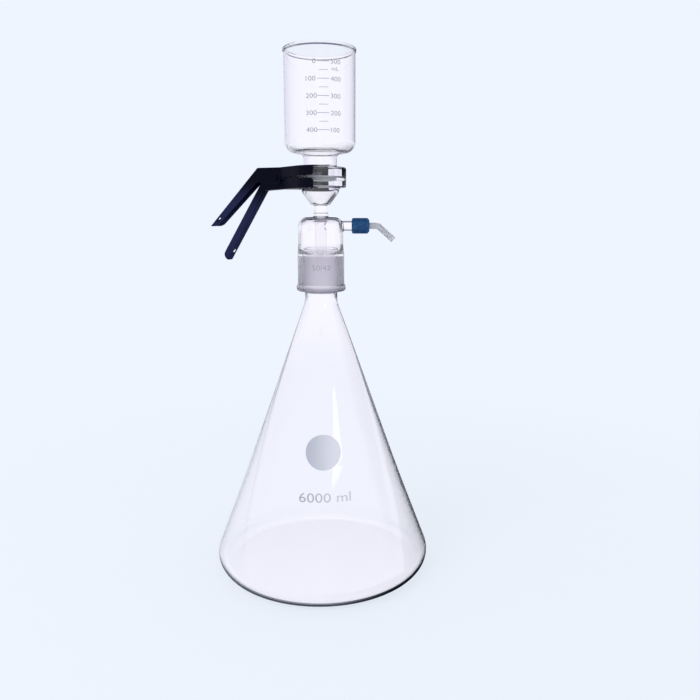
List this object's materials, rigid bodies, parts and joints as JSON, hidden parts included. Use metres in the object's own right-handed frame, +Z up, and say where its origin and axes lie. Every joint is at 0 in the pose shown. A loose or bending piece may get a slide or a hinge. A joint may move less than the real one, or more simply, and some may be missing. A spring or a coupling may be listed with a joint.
{
  "type": "vacuum filtration unit",
  "caption": "Laboratory vacuum filtration unit: graduated glass funnel clamped to a fritted glass head with a hose elbow, on a conical receiver flask.",
  "frame": {"origin": "centre of the flask's flat foot, on the table", "axes": "+Z up along the unit's axis; +X along the side arm; the clamp's handles point to -X and +Y"},
  "size_m": [0.285, 0.2802, 0.657],
  "materials": {
    "borosilicate glass": "clear, fire polished, with ground joint faces",
    "sintered glass": "sintered, white, porous",
    "clamp sheet": "black, anodised aluminium",
    "clamp steel": "plain",
    "cap plastic": "moulded blue polypropylene",
    "seal": "silicone",
    "elbow plastic": "translucent natural plastic"
  },
  "bodies": {
    "stand": {"receiver_flask": "borosilicate glass", "filter_head": "borosilicate glass", "frit_disc": "sintered glass", "funnel": "borosilicate glass", "clamp_lower_lever": "clamp sheet", "clamp_rivet": "clamp steel", "clamp_spring": "clamp steel"},
    "upper_lever": {"clamp_upper_lever": "clamp sheet"},
    "seal": {"seal_ring": "seal"},
    "elbow": {"hose_elbow": "elbow plastic"},
    "cap": {"screw_cap": "cap plastic"}
  },
  "joints": [
    {"name": "clamp_squeeze", "type": "hinge", "parent": "stand", "child": "upper_lever", "pos_m": [-0.05415, 0.02188, 0.507], "axis": [-0.3746, -0.9272, 0], "range_deg": [0, 12], "stiffness_Nm_per_rad": 0.6, "springref_deg": -20.05, "deforming": ["clamp_spring"]},
    {"name": "seal_travel", "type": "slide", "parent": "stand", "child": "seal", "axis": [1, 0, 0], "range_m": [0, 0.00375]},
    {"name": "cap_turn", "type": "hinge", "parent": "seal", "child": "cap", "pos_m": [0.05, 0, 0.448], "axis": [1, 0, 0], "range_deg": [0, 540]},
    {"name": "elbow_swivel", "type": "hinge", "parent": "seal", "child": "elbow", "pos_m": [0.056, 0, 0.448], "axis": [1, 0, 0], "range_deg": [-180, 180]}
  ],
  "couplings": [
    {"joint": "cap_turn", "follows": "seal_travel", "rad_per_m": 2513.3}
  ]
}
